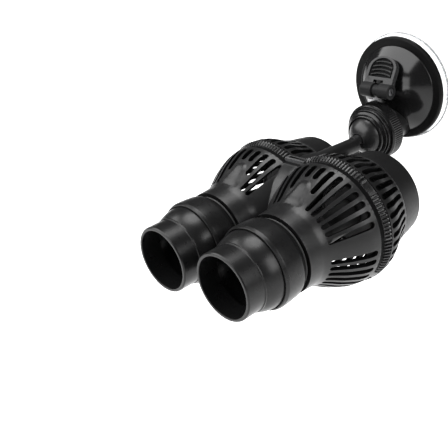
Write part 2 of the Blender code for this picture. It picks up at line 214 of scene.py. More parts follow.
def soft_rubber(name, grey, rough):
    """Matt rubber with a faint powdery bloom."""
    n = Nodes(name)
    bloom = n.noise(size=3.5, detail=5.0, rough=0.7)
    fine = n.noise(size=0.25, detail=2.0)
    n.feed(Base_Color=n.mix(n.ramp(bloom, 0.35, 0.7, 0.0, 1.0), shade(grey), shade(grey * 1.9)),
           Roughness=n.spread(bloom, rough - 0.08, rough + 0.1), Normal=n.bump(fine, 0.5, 0.02),
           Sheen_Weight=0.15)
    return name, n.mat


def clear_pvc(name):
    """Clear flexible lip: nearly colourless, faintly wavy and slightly hazed."""
    n = Nodes(name)
    wave = n.noise(size=6.0)
    haze = n.noise(size=1.6, detail=4.0)
    n.feed(Base_Color=n.mix(haze, (0.95, 0.96, 0.97), (0.88, 0.90, 0.91)),
           Roughness=n.spread(haze, 0.04, 0.10), Normal=n.bump(wave, 0.2, 0.02),
           Transmission_Weight=0.93, IOR=1.42)
    return name, n.mat


def clear_edge(name):
    """Thick rolled edge of the clear lip, where the vinyl looks grey."""
    n = Nodes(name)
    haze = n.noise(size=4.0, detail=4.0)
    n.feed(Base_Color=n.mix(haze, (0.40, 0.41, 0.42), (0.62, 0.63, 0.64)),
           Roughness=n.spread(haze, 0.15, 0.3), Transmission_Weight=0.45, IOR=1.42)
    return name, n.mat


def metal(name, colour, rough, line=None):
    """Bare metal with fine scratches; line spaces the turns or sheets stacked along Y."""
    n = Nodes(name)
    scuff = n.noise(size=1.2, detail=6.0, rough=0.7)
    tone = n.mix(n.spread(scuff), scaled(colour, 0.75), colour)
    normal = n.bump(n.noise(size=0.3), 0.2, 0.01)
    if line is not None:
        stack = n.add("ShaderNodeTexWave", {
            "Vector": n.place, "Scale": 0.1 / (line * MM), "Distortion": 0.4,
            "Detail": 1.0}, bands_direction="Y").outputs["Fac"]
        normal = n.bump(stack, 0.8, 0.12, normal)
        # Grooves of the stack are painted darker: painted shade between wire turns, dark joints
        # between steel sheets.
        tone = n.mix(n.ramp(stack, 0.0, 0.35, 1.0, 0.0), tone, scaled(colour, 0.25))
    n.feed(Base_Color=tone, Roughness=n.spread(scuff, rough * 0.8, rough * 1.3),
           Normal=normal, Metallic=1.0)
    return name, n.mat


def ceramic(name, colour, rough):
    """Fired or sintered part with fine grains, 2200 to the metre."""
    n = Nodes(name)
    grains = n.add("ShaderNodeTexVoronoi", {"Vector": n.place, "Scale": 2200.0})
    depth = grains.outputs["Distance"]
    n.feed(Base_Color=n.mix(n.ramp(depth, 0.1, 0.6, 0.0, 1.0), colour, scaled(colour, 0.8)),
           Roughness=n.spread(n.noise(size=2.0), rough - 0.06, rough + 0.08),
           Normal=n.bump(depth, 0.15, 0.01))
    return name, n.mat


def make_materials():
    return dict((
        # Mount
        clear_pvc("clear_lip"),
        clear_edge("lip_edge"),
        plastic("cover_gloss", 0.0045, 0.14, 0.025, relief=0.003, shine=0.26),
        plastic("cover_rim", 0.0022, 0.46, 0.04, relief=0.012, shine=0.07),
        plastic("post_plastic", 0.0065, 0.34),
        plastic("lever_plastic", 0.0040, 0.27, shine=0.17),
        # Rougher, and darker than the lever's tab: painted shade on its round knuckles, also used
        # for the post.
        plastic("knuckle_plastic", 0.0022, 0.42, relief=0.03, shine=0.07),
        # Near-black sheet for recesses and gaps: painted shade.
        plastic("painted_shade_black", 0.0012, 0.6, shine=0.03),
        metal("pin_steel", (0.12, 0.12, 0.125), 0.38),
        metal("stop_steel", (0.62, 0.62, 0.63), 0.3),
        # The edge factor of 6 paints highlights on the nut's ridges.
        plastic("nut_plastic", 0.0028, 0.24, relief=0.012, edge=6.0, shine=0.24),
        plastic("inner_plastic", 0.012, 0.45),
        plastic("ball_plastic", 0.007, 0.30, 0.03, relief=0.004),
        # Pump
        plastic("housing_plastic", 0.0044, 0.38, relief=0.03, shine=0.17),
        plastic("cage_plastic", 0.0056, 0.33, relief=0.025, shine=0.24),
        # Near-black for the shells' insides and slot walls: painted shade.
        plastic("inside_painted_shade", 0.0014, 0.6, shine=0.04),
        # The edge factor of 14 paints highlights on the rib crests.
        plastic("band_plastic", 0.0035, 0.27, edge=14.0, shine=0.36),
        plastic("nozzle_plastic", 0.0044, 0.30, 0.04, relief=0.018, edge=2.0, shine=0.21),
        soft_rubber("seal_rubber", 0.004, 0.7),
        soft_rubber("gland_rubber", 0.010, 0.62),
        # Motors
        plastic("inner_black", 0.006, 0.5),
        metal("core_steel", (0.42, 0.42, 0.43), 0.42, line=0.5),
        metal("copper_winding", (0.72, 0.30, 0.13), 0.30, line=0.45),
        ceramic("ferrite", (0.035, 0.035, 0.038), 0.42),
        ceramic("shaft_ceramic", (0.82, 0.81, 0.77), 0.22),
        soft_rubber("bush_rubber", 0.016, 0.75),
        plastic("bearing_plastic", 0.010, 0.42),
        plastic("impeller_plastic", 0.004, 0.42, shine=0.12),
    ))


# ---- mesh helpers

def open_mesh(name, verts, faces):
    """Object from points in millimetres, left as they are."""
    mesh = bpy.data.meshes.new(name)
    mesh.from_pydata([tuple(c * MM for c in v) for v in verts], [], faces)
    return place_object(name, mesh)


def edit(obj, change):
    """Put an object's mesh through change, a function of its bmesh."""
    bm = bmesh.new()
    bm.from_mesh(obj.data)
    change(bm)
    bm.to_mesh(obj.data)
    bm.free()
    return obj


def weld(bm):
    """Merge points that coincide and turn the faces out."""
    bmesh.ops.remove_doubles(bm, verts=bm.verts, dist=TINY)
    bmesh.ops.recalc_face_normals(bm, faces=bm.faces)


def closed_mesh(name, verts, faces):
    """Object from points in millimetres, welded, with its faces pointing out."""
    obj = open_mesh(name, verts, faces)
    obj.data.validate()
    return edit(obj, weld)


def bake_modifiers(obj):
    """Apply every modifier of an object to its mesh."""
    graph = bpy.context.evaluated_depsgraph_get()
    mesh = bpy.data.meshes.new_from_object(obj.evaluated_get(graph))
    obj.modifiers.clear()
    old = obj.data
    obj.data = mesh
    bpy.data.meshes.remove(old)
    return obj


def smooth(obj, angle=32.0):
    """Smooth shading with sharp edges kept above an angle, and flats kept flat."""
    for poly in obj.data.polygons:
        poly.use_smooth = True
    obj.data.set_sharp_from_angle(angle=math.radians(angle))
    mod = obj.modifiers.new("weighted", "WEIGHTED_NORMAL")
    mod.keep_sharp = True
    mod.weight = 80
    return bake_modifiers(obj)


def soften(obj, width, segments=2, angle=30.0):
    """Bevel the edges that are sharper than an angle."""
    mod = obj.modifiers.new("edges", "BEVEL")
    mod.width = width * MM
    mod.segments = segments
    mod.limit_method = "ANGLE"
    mod.angle_limit = math.radians(angle)
    mod.use_clamp_overlap = True
    mod.miter_outer = "MITER_ARC"
    return bake_modifiers(obj)


def combine(obj, other, operation):
    """Boolean of two objects; the second is used up."""
    mod = obj.modifiers.new(operation.lower(), "BOOLEAN")
    mod.operation = operation
    mod.solver = "EXACT"
    mod.object = other
    bake_modifiers(obj)
    bpy.data.objects.remove(other, do_unlink=True)
    return obj


def join(obj, *others):
    """Put other objects' shells into one mesh."""
    for one in others:
        edit(obj, lambda bm: bm.from_mesh(one.data))
        bpy.data.objects.remove(one, do_unlink=True)
    return obj


def rounded(profile, radius=0.35, steps=3):
    """Round the corners of a closed profile of (radius, station[, corner radius]) points."""
    almost_straight = math.radians(168)
    most_of_side = 0.46
    out = []
    for i, point in enumerate(profile):
        here = Vector(point[:2])
        want = point[2] if len(point) > 2 else radius
        one = Vector(profile[i - 1][:2]) - here
        two = Vector(profile[(i + 1) % len(profile)][:2]) - here
        sharp = here.x < TINY or want <= 0 or min(one.length, two.length) < TINY
        if sharp or one.angle(two) > almost_straight:
            out.append(tuple(here))
            continue
        cut = min(want / math.tan(one.angle(two) / 2), most_of_side * one.length,
                  most_of_side * two.length)
        start = here + one.normalized() * cut
        end = here + two.normalized() * cut
        for k in range(steps + 1):
            s = k / steps
            out.append(tuple(start * (1 - s) ** 2 + here * 2 * s * (1 - s) + end * s * s))
    return out


def arc(radius, centre_y, start, stop, count):
    """Circle points (radius, station, 0); angles in degrees from +Y towards the rim."""
    points = []
    for i in range(count):
        a = math.radians(start + (stop - start) * i / (count - 1))
        points.append((radius * math.sin(a), centre_y + radius * math.cos(a), 0.0))
    return points


def ring_section(radius, station, half, count):
    """Round section of a ring, as profile points."""
    turns = [TAU * i / count for i in range(count)]
    return [(radius + half * math.sin(a), station + half * math.cos(a), 0.0) for a in turns]


def revolve(name, profile, x=0.0, z=0.0, segments=144, relief=None):
    """Closed profile spun about an axis along Y; relief(angle, station, radius) adds height."""
    verts, faces, rings = [], [], []
    for r, y in profile:
        if r < TINY:
            rings.append([len(verts)])
            verts.append((x, y, z))
            continue
        rings.append(list(range(len(verts), len(verts) + segments)))
        for i in range(segments):
            a = TAU * i / segments
            reach = r + (relief(math.degrees(a), y, r) if relief else 0.0)
            verts.append((x + reach * math.cos(a), y, z + reach * math.sin(a)))
    for one, two in zip(rings, rings[1:] + rings[:1]):
        if len(one) == 1 and len(two) == 1:
            continue
        for i in range(segments):
            j = (i + 1) % segments
            quad = [one[i % len(one)], one[j % len(one)], two[j % len(two)], two[i % len(two)]]
            faces.append(list(dict.fromkeys(quad)))
    return closed_mesh(name, verts, faces)


def lathe(name, profile, x=0.0, z=0.0, segments=144, radius=0.35, relief=None, steps=3):
    """Turned piece with rounded corners, shaded smooth."""
    return smooth(revolve(name, rounded(profile, radius, steps), x, z, segments, relief))


def make_twin(bm):
    """Cut the right head at the middle plane and mirror it."""
    bmesh.ops.bisect_plane(bm, geom=bm.verts[:] + bm.edges[:] + bm.faces[:], dist=1e-7,
                           plane_co=(0, 0, 0), plane_no=(1, 0, 0), clear_inner=True)
    for v in bm.verts:
        if abs(v.co.x) < MERGE:
            v.co.x = 0.0
    copy = bmesh.ops.duplicate(bm, geom=bm.verts[:] + bm.edges[:] + bm.faces[:])["geom"]
    for v in (g for g in copy if isinstance(g, bmesh.types.BMVert)):
        v.co.x = -v.co.x
    bmesh.ops.reverse_faces(bm, faces=[g for g in copy if isinstance(g, bmesh.types.BMFace)])
    bmesh.ops.remove_doubles(bm, verts=bm.verts, dist=MERGE)


def curve_through(points):
    """Smooth function through (station, value) pairs that never overshoots them."""
    xs, ys = zip(*sorted(points))
    last = len(xs) - 1
    slope = [(ys[i + 1] - ys[i]) / (xs[i + 1] - xs[i]) for i in range(last)]
    inner = [0.0 if a * b <= 0 else 2 * a * b / (a + b) for a, b in zip(slope, slope[1:])]
    tangent = [slope[0], *inner, slope[-1]]

    def value(x):
        x = min(max(x, xs[0]), xs[-1])
        i = max(k for k in range(last) if k == 0 or xs[k] <= x)
        h = xs[i + 1] - xs[i]
        t = (x - xs[i]) / h
        return ((2 * t ** 3 - 3 * t ** 2 + 1) * ys[i] + (t ** 3 - 2 * t ** 2 + t) * h * tangent[i]
                + (3 * t ** 2 - 2 * t ** 3) * ys[i + 1] + (t ** 3 - t ** 2) * h * tangent[i + 1])
    return value


def ease(t):
    """Smooth step from 0 to 1."""
    t = min(max(t, 0.0), 1.0)
    return t * t * (3 - 2 * t)


def box(name, size, place, turn=Matrix()):
    """Box of a size in millimetres, turned and then put in its place."""
    matrix = Matrix.Translation(place) @ turn

    def cube(bm):
        bmesh.ops.create_cube(bm, size=1.0)
        for v in bm.verts:
            v.co = matrix @ Vector(c * s for c, s in zip(v.co, size)) * MM

    return edit(place_object(name, bpy.data.meshes.new(name)), cube)


def rod(name, radius, half, matrix, chamfer=0.0, segments=64, steps=3):
    """Round rod along X with chamfered ends, centred on a matrix's place."""
    profile = [(0, -half), (radius, -half, chamfer), (radius, half, chamfer), (0, half)]
    return aim(revolve(name, rounded(profile, steps=steps), segments=segments), matrix @ AXLE)


def aim(obj, matrix):
    """Move a mesh built about the origin to a place given by a matrix."""
    obj.data.transform(Matrix.Translation(matrix.translation * MM) @ matrix.to_3x3().to_4x4())
    return obj


def loft(name, rings):
    """Closed skin over rings of equally many points, with flat ends."""
    count = len(rings[0])
    start = count * (len(rings) - 1)
    faces = [list(range(count))[::-1], list(range(start, start + count))]
    for i in range(len(rings) - 1):
        for j in range(count):
            k = (j + 1) % count
            faces.append([i * count + j, i * count + k, (i + 1) * count + k, (i + 1) * count + j])
    return closed_mesh(name, [point for ring in rings for point in ring], faces)


def prism(name, outline, low, high, matrix):
    """Outline in a matrix's XY plane, extruded from low to high along its Z."""
    return loft(name, [[matrix @ Vector((u, v, w)) for u, v in outline] for w in (low, high)])


def slab(name, rows, cols, point):
    """Plate from point(row, column, layer), with layer 0 its outside and 1 its inside."""
    verts = [point(i, j, layer) for layer in (0, 1) for i in range(rows) for j in range(cols)]
    under = rows * cols
    faces = []
    for i in range(rows - 1):
        for j in range(cols - 1):
            a = i * cols + j
            quad = [a, a + 1, a + cols + 1, a + cols]
            faces += [quad, [under + k for k in reversed(quad)]]
    for i in (0, rows - 1):
        for a in range(i * cols, i * cols + cols - 1):
            faces.append([a, a + 1, under + a + 1, under + a])
    for j in (0, cols - 1):
        for a in range(j, j + cols * (rows - 1), cols):
            faces.append([a, a + cols, under + a + cols, under + a])
    return closed_mesh(name, verts, faces)


def dress(obj, body, slot, *nodes, look=None):
    """Give a piece its finish, the body it rides on and the CAD nodes it stands for."""
    obj.data.materials.clear()
    obj.data.materials.append(LOOKS[look or slot])
    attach(obj, body)
    if nodes:
        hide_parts(*nodes)
    return obj


def paint_inside_shade(shell):
    """Paint the inside and the slot walls darker, as painted shade."""
    facing_out = 0.4
    shell.data.materials.append(LOOKS["inside_painted_shade"])
    for face in shell.data.polygons:
        x = face.center.x / MM - math.copysign(HEAD_X, face.center.x)
        out = Vector((x, 0.0, face.center.z / MM - HEAD_Z))
        # Faces that turn away from the outside get the painted shade.
        if face.normal.dot(out.normalized()) < facing_out:
            face.material_index = 1


# ---- slotted shells

# Columns across a slot, in half widths, and rows before, along and behind it, as shares
SLOT_COLUMNS = (-1.0, -0.92, -0.72, -0.4, 0.0, 0.4, 0.72, 0.92, 1.0)
LEAD_ROWS = (0.0, 0.12, 0.25, 0.4, 0.55, 0.7, 0.84, 0.95, 1.0)
SLOT_ROWS = (0.05, 0.15, 0.28, 0.42, 0.56, 0.7, 0.83, 0.94, 1.0)
RIM_ROWS = (0.5, 1.0)
BAR_COLUMNS = (0.22, 0.78)  # columns on a narrow bar, as shares of its width
WIDEST_COLUMN = 2.4  # degrees
PAST_MIDDLE = -2.0  # faces beyond this X belong to the other head


def slot_columns(slots, radius_at, half_width):
    """Columns (angle, front, back, open) over the slots, whose ends are round."""
    columns = []
    for angle, front, back in sorted(slots):
        for u in SLOT_COLUMNS:
            dip = (1 - math.sqrt(1 - u * u)) * math.radians(half_width)
            columns.append((angle + u * half_width, front + radius_at(front) * dip,
                            back - radius_at(back) * dip, u < SLOT_COLUMNS[-1]))
    return columns


def add_bars(columns):
    """Add columns on the bars between slots, easing from one slot's ends to the next one's."""
    full = []
    for i, (angle, front, back, is_open) in enumerate(columns):
        full.append(columns[i])
        if is_open:
            continue
        next_angle, next_front, next_back, _ = columns[(i + 1) % len(columns)]
        step = (next_angle - angle) % 360
        count = math.ceil(step / WIDEST_COLUMN)
        for s in [k / count for k in range(1, count)] if count > 3 else BAR_COLUMNS:
            full.append((angle + step * s, front + (next_front - front) * s,
                         back + (next_back - back) * s, False))
    return full


def slotted_wall(name, radius_at, front_rows, lead, rim, columns):
    """Open surface of the right head: front rows, lead to the slots, slots, and on to the rim."""
    first = len(front_rows) + len(LEAD_ROWS) - 1
    last = first + len(SLOT_ROWS)
    rows = last + len(RIM_ROWS) + 1
    verts, faces = [], []
    for angle, front, back, _ in columns:
        stations = [*front_rows, *(lead + (front - lead) * s for s in LEAD_ROWS),
                    *(front + (back - front) * s for s in SLOT_ROWS),
                    *(back + (rim - back) * s for s in RIM_ROWS)]
        a = math.radians(angle)
        for y in stations:
            r = radius_at(y)
            verts.append((HEAD_X + r * math.cos(a), y, HEAD_Z + r * math.sin(a)))
    for i, column in enumerate(columns):
        j = (i + 1) % len(columns)
        for k in range(rows - 1):
            quad = [i * rows + k, j * rows + k, j * rows + k + 1, i * rows + k + 1]
            in_slot = column[3] and first <= k < last
            if not in_slot and any(verts[q][0] >= PAST_MIDDLE for q in quad):
                faces.append(quad)
    return open_mesh(name, verts, faces)


def face_outward(bm):
    """Drop unused points and turn the wall's faces away from the head's axis."""
    bmesh.ops.delete(bm, geom=[v for v in bm.verts if not v.link_faces], context="VERTS")
    bm.normal_update()
    bm.faces.ensure_lookup_table()
    probe = bm.faces[0]
    centre = probe.calc_center_median()
    if probe.normal.dot(Vector((centre.x - HEAD_X * MM, 0, centre.z - HEAD_Z * MM))) < 0:
        bmesh.ops.reverse_faces(bm, faces=bm.faces)


def slotted_shell(name, radius_at, slots, half_width, wall, front_rows, lead, rim):
    """Twin shell of revolution with round-ended slots of (angle, front, back)."""
    columns = add_bars(slot_columns(slots, radius_at, half_width))
    surface = slotted_wall(name, radius_at, front_rows, lead, rim, columns)
    obj = edit(surface, face_outward)
    solid = obj.modifiers.new("wall", "SOLIDIFY")
    solid.thickness = wall * MM
    solid.offset = -1.0
    solid.use_even_offset = True
    bake_modifiers(obj)
    return edit(soften(obj, 0.26, angle=38.0), make_twin)


# ---- front cage

CAGE_RADIUS = curve_through([
    (CAGE_BACK, 32.2), (-98.5, 31.0), (-103.5, 28.9), (-107.5, 27.0), (-110.5, 25.2),
    (-114.0, 23.1), (-117.0, 21.6), (-120.0, 20.85), (-124.0, 20.6), (COLLAR_FRONT, 20.4)])
CAGE_SLOT_PITCH = 9.6  # degrees
CAGE_SLOT_HALF = 2.95  # degrees
CAGE_SLOT_BACK = -94.7
LONG = -116.4  # front ends of the slots
MEDIUM = -109.4
SHORT = -102.9
LOWEST_SIDE_SLOT = -8.6  # degrees, the one slot beside the plain outer bar

PAD_FRONT = -118.6  # arched land between the slots' front ends
PAD_BACK = -103.5
PAD_RISE = 0.62
PAD_SINK = 0.12
PAD_DEPTH = 1.2
PAD_FLANK = 3.2
PAD_HEEL = 3.4
PAD_TOE = 4.0
PAD_HALF = curve_through([  # half width in degrees
    (PAD_FRONT, 20.0), (-116.0, 18.2), (-113.0, 15.2), (-110.0, 12.0), (-107.0, 9.9),
    (-105.2, 8.0), (-104.3, 6.0), (-103.8, 4.0), (PAD_BACK, 0.6)])

WEB_FRONT = -112.0  # facet over the valley between the domes
WEB_TOP = curve_through([
    (CAGE_BACK, 27.5), (-98.0, 25.2), (-103.5, 21.7), (-107.5, 17.5), (-110.5, 13.4),
    (WEB_FRONT, 10.8)])
WEB_DEPTH = 3.2
WEB_OVERLAP = 0.7
WEB_EDGE_DROP = 0.5
WEB_COLUMNS = (-1.0, -0.8, -0.4, 0.0, 0.4, 0.8, 1.0)


def cage_slots():
    """Slots (angle, front, back) of the right head, shorter ones beside the arched lands."""
    fronts = [SHORT, MEDIUM] + [LONG] * 6
    turns = [CAGE_SLOT_PITCH * (k + 0.5) for k in range(len(fronts))]
    upper = [(90 - turn, front, CAGE_SLOT_BACK) for turn, front in zip(turns, fronts)]
    upper += [(90 + turn, front, CAGE_SLOT_BACK) for turn, front in zip(turns[:4], fronts)]
    lower = [(-angle, front, back) for angle, front, back in upper]
    return [*upper, *lower, (LOWEST_SIDE_SLOT, LONG, CAGE_SLOT_BACK)]


def arch_pad(name, side, up):
    """Smooth arched land between the slot ends, raised a little with soft flanks."""
    rows, cols = 37, 33

    def point(i, j, layer):
        crowded = 1 - (1 - i / (rows - 1)) ** 1.6
        y = PAD_FRONT + (PAD_BACK - PAD_FRONT) * crowded
        t = math.sin(math.pi * j / (cols - 1) - math.pi / 2)
        half = PAD_HALF(y)
        inset = (1 - abs(t)) * math.radians(half) * CAGE_RADIUS(y)
        rise = ease(inset / PAD_FLANK) * ease((PAD_BACK - y) / PAD_HEEL)
        height = PAD_RISE * rise * ease((y - PAD_FRONT) / PAD_TOE) - PAD_SINK
        r = CAGE_RADIUS(y) + (-PAD_DEPTH if layer else height)
        a = math.radians(90 + t * half)
        return (side * (HEAD_X + r * math.cos(a)), y, HEAD_Z + up * r * math.sin(a))

    return smooth(slab(name, rows, cols, point), 50)


def web_facet(name, up):
    """Facet that fills the valley between the two domes, flat across and convex along Y."""
    steps = 24
    foot_share = 0.8
    rings = []
    for i in range(steps + 1):
        y = CAGE_BACK + (WEB_FRONT - CAGE_BACK) * i / steps
        top = WEB_TOP(y)
        valley = HEAD_X - math.sqrt(CAGE_RADIUS(y) ** 2 - top ** 2)
        half = max(0.15, valley) + WEB_OVERLAP
        ring = []
        for t in WEB_COLUMNS:
            drop = WEB_EDGE_DROP * max(0.0, abs(t) - foot_share) / (1 - foot_share)
            ring.append((half * t, y, HEAD_Z + up * (top - drop)))
        for t in reversed(WEB_COLUMNS):
            ring.append((half * foot_share * t, y, HEAD_Z + up * (top - WEB_DEPTH)))
        rings.append(ring)
    return smooth(loft(name, rings), 40)


def build_cage():
    shell = slotted_shell("front_cage_shell", CAGE_RADIUS, cage_slots(), CAGE_SLOT_HALF,
                          wall=2.3, front_rows=(COLLAR_FRONT, -125.5, -122.5), lead=-120.6,
                          rim=CAGE_BACK)
    dress(smooth(shell, 34), "cage", "cage_plastic", "front_cage")
    paint_inside_shade(shell)

    # Spigot that slides into the band
    spigot = revolve("cage_spigot", rounded([
        (28.2, -88.4), (29.7, -88.4, 0.5), (29.7, -92.95), (30.6, -92.95), (30.6, -94.3),
        (28.2, -94.3)], 0.2), HEAD_X, HEAD_Z, 160)
    dress(smooth(edit(spigot, make_twin)), "cage", "cage_plastic")

    for side, tag in HEADS:
        neck = lathe("cage_neck_" + tag, [
            (16.0, -131.0), (17.6, -131.0), (17.6, -128.15), (19.2, -128.15), (19.2, -126.6),
            (16.0, -126.6)], side * HEAD_X, HEAD_Z, radius=0.25)
        dress(neck, "cage", "cage_plastic")
        for up, place in PLACES:
            pad = arch_pad("arch_pad_%s_%s" % (place, tag), side, up)
            dress(pad, "cage", "cage_plastic")
    for up, place in PLACES:
        dress(web_facet("cage_web_" + place, up), "cage", "cage_plastic")


# ---- band

RIB_PITCH = 3.3  # degrees
RIB_BACK = -86.4  # ends of the ribs
RIB_FRONT = -89.72
RIB_HEIGHT = 1.35
RIB_SINK = 0.58  # the valleys lie this far under the plain band
RIB_RUN_OUT = 0.3
RIB_SEGMENTS = 6 * 109  # six to each of the 109 ribs
BAND_INSIDE = 30.1
RIBBED_OUTSIDE = 31.6  # radius beyond which the band has ribs
PLAIN_LANDS = (40, 52)  # degrees from the outer side, both ways
BRIDGE_Y = -88.2  # middle of the plate over the valley
BRIDGE_Z = 27.6  # its height over the head axes


def band_relief(angle, y, r):
    """Ribs of the band, with plain lands between their stretches."""
    from_side = angle if angle <= 180 else 360 - angle
    in_land = PLAIN_LANDS[0] < from_side < PLAIN_LANDS[1]
    if in_land or r < RIBBED_OUTSIDE or not RIB_FRONT < y < RIB_BACK:
        return 0.0
    crest = max(0.0, math.cos(TAU * angle / RIB_PITCH) - 0.08) ** 0.8
    run_out = min(1.0, min(RIB_BACK - y, y - RIB_FRONT) / RIB_RUN_OUT)
    return RIB_HEIGHT * run_out * crest - RIB_SINK


def build_band():
    cone = [(33.05 - 0.14 * i, -86.7 - 0.3 * i, 0.0) for i in range(10)]
    band = revolve("grip_band_twin", rounded([
        (BAND_INSIDE, BAND_BACK, 0.2), (33.0, BAND_BACK, 0.25), *cone, (31.65, BAND_STEP, 0.2),
        (BAND_INSIDE, BAND_STEP, 0.1)], 0.2, 2), HEAD_X, HEAD_Z, RIB_SEGMENTS, band_relief)
    dress(smooth(edit(band, make_twin), 40), "pump", "band_plastic", "grip_band")
    # Dark step at the band's front: painted shade in the groove to the cage.
    lip = revolve("band_front_step", rounded([
        (BAND_INSIDE, -89.6, 0.1), (31.6, -89.6, 0.1), (31.6, BAND_FRONT, 0.25),
        (BAND_INSIDE, BAND_FRONT, 0.2)], 0.2, 3), HEAD_X, HEAD_Z, 176)
    dress(smooth(edit(lip, make_twin)), "pump", "band_plastic", look="painted_shade_black")

    # Framed plate that closes the band over the valley, above and below
    for up, place in PLACES:
        z = HEAD_Z + up * BRIDGE_Z
        plate = box("band_bridge_" + place, (12.8, 3.9, 3.4), (0, BRIDGE_Y, z))
        recess = box("recess", (10.4, 1.8, 2.4), (0, BRIDGE_Y, z + up * 1.7))
        combine(plate, recess, "DIFFERENCE")
        dress(smooth(soften(plate, 0.25, 3)), "pump", "band_plastic")
        # Dark lip under the plate: painted shade in the gap over the valley.
        lip = box("band_lip_" + place, (11.6, 3.4, 2.6), (0, -91.0, z - up * 1.6))
        dress(smooth(soften(lip, 0.3)), "pump", "band_plastic", look="painted_shade_black")


# ---- rear cage, cans and stem

FLARE_RADIUS = curve_through([
    (FLARE_FRONT, 33.3), (-82.5, 33.05), (-79.4, 32.3), (-75.0, 30.2), (-70.0, 28.0),
    (FLARE_BACK, 26.4)])
FLARE_SLOT_PITCH = 8.4  # degrees
FLARE_SLOT_HALF = 2.5  # degrees
FLARE_SLOT = (-85.2, -67.0)  # front and back ends

# Sections of the saddle: (station, half width, top, bottom, squareness)
SADDLE = (
    (-86.0, 5.6, 27.2, 18.0, 6.0), (-84.8, 5.6, 27.4, 18.0, 6.0), (-82.0, 5.5, 27.4, 18.0, 5.0),
    (-79.5, 5.3, 27.3, 17.6, 3.6), (-77.0, 5.1, 27.2, 17.2, 2.6), (-74.0, 5.0, 27.1, 17.0, 2.1),
    (-73.2, 4.7, 26.9, 17.2, 2.0))

STEM_Z = -22.14  # height of the stem's axis where it would meet the glass
STEM_LEAN = 3.11  # degrees it rises towards the cage


def build_flare():
    slots = [(i * FLARE_SLOT_PITCH, *FLARE_SLOT) for i in range(-15, 16)]
    flare = slotted_shell("rear_cage_shell", FLARE_RADIUS, slots, FLARE_SLOT_HALF,
                          wall=2.2, front_rows=(FLARE_FRONT,), lead=-85.75, rim=FLARE_BACK)
    dress(smooth(flare, 34), "pump", "housing_plastic", "rear_cage")
    paint_inside_shade(flare)


def build_saddle():
    """Saddle that carries the stem: square at the band, round where it grips the stem."""
    count = 48
    rings = []
    for y, half, top, low, power in SADDLE:
        middle, tall = (top + low) / 2, (top - low) / 2
        ring = []
        for i in range(count):
            c, s = math.cos(TAU * i / count), math.sin(TAU * i / count)
            ring.append((half * math.copysign(abs(c) ** (2 / power), c), y,
                         HEAD_Z + middle + tall * math.copysign(abs(s) ** (2 / power), s)))
        rings.append(ring)
    dress(smooth(loft("stem_saddle", rings), 45), "pump", "housing_plastic")


def build_cans():
    """Motor cans with their pods, joined into a twin."""
    cans = revolve("motor_cans", rounded([
        (0, CAN_REAR), (22.4, CAN_REAR, 1.0), (23.4, -50.2, 1.2), (26.1, CAN_FRONT, 0.4),
        (16.8, CAN_FRONT, 0.2), (16.8, POD_FRONT, 0.5), (15.2, POD_FRONT, 0.3), (15.2, -52.4, 0.3),
        (0, -52.4)], 0.4, 5), HEAD_X, HEAD_Z, 160)
    dress(smooth(edit(cans, make_twin), 30), "pump", "housing_plastic", "motor_housing")


def build_stem():
    """Tapered stem, its neck into the ball and the rib under it."""
    stem = revolve("stem_rod", rounded([
        (0, -43.2), (3.55, -43.2, 0.3), (4.1, -44.0, 0.6), (4.3, -78.7, 0.2), (3.0, -78.7),
        (3.0, -84.2), (0, -84.2)], 0.35, 4), segments=96)
    lean = Matrix.Rotation(-math.radians(STEM_LEAN), 4, "X")
    aim(stem, Matrix.Translation((0, 0, STEM_Z)) @ lean)
    neck = revolve("neck", rounded([(0, -28.4), (3.0, -28.4), (3.0, -45.5), (0, -45.5)]),
                   0.0, BALL.z, 64)
    combine(stem, neck, "UNION")
    side_on = Matrix(((0, 0, 1, 0), (1, 0, 0, 0), (0, 1, 0, 0), (0, 0, 0, 1)))
    rib = prism("rib", [(-43.6, -20.0), (-41.9, -24.2), (-42.2, -25.6), (-43.2, -26.3),
                        (-50.0, -25.9), (-54.0, -25.1), (-64.0, -21.0)], -1.6, 1.6, side_on)
    combine(stem, soften(rib, 0.5, 3), "UNION")
    dress(smooth(stem), "pump", "housing_plastic", "stem_arm")


def build_gland():
    """Ribbed boot where the cord would leave, low between the cans."""
    gland = lathe("cable_gland_boot", [
        (0, -49.0), (5.6, -49.0), (5.6, -47.0, 0.4), (4.8, -46.6), (4.55, -45.2), (4.75, -44.6),
        (4.45, -43.4), (4.6, -42.8), (4.25, -41.6), (4.35, -41.0), (4.0, -39.6), (4.05, -39.0),
        (3.4, -36.0, 0.4), (2.3, -36.0, 0.2), (2.3, -44.0), (0, -44.0)],
        0.0, HEAD_Z - 8.0, 64, 0.15)
    dress(gland, "pump", "gland_rubber", "cable_gland")


# ---- nozzles

SEAT_R = 20.1  # seat in the barrel ring
SWIVEL_R = 19.8  # ball end of the outlet tip
BORE_R = 17.9  # inside of the ring and of the ball end


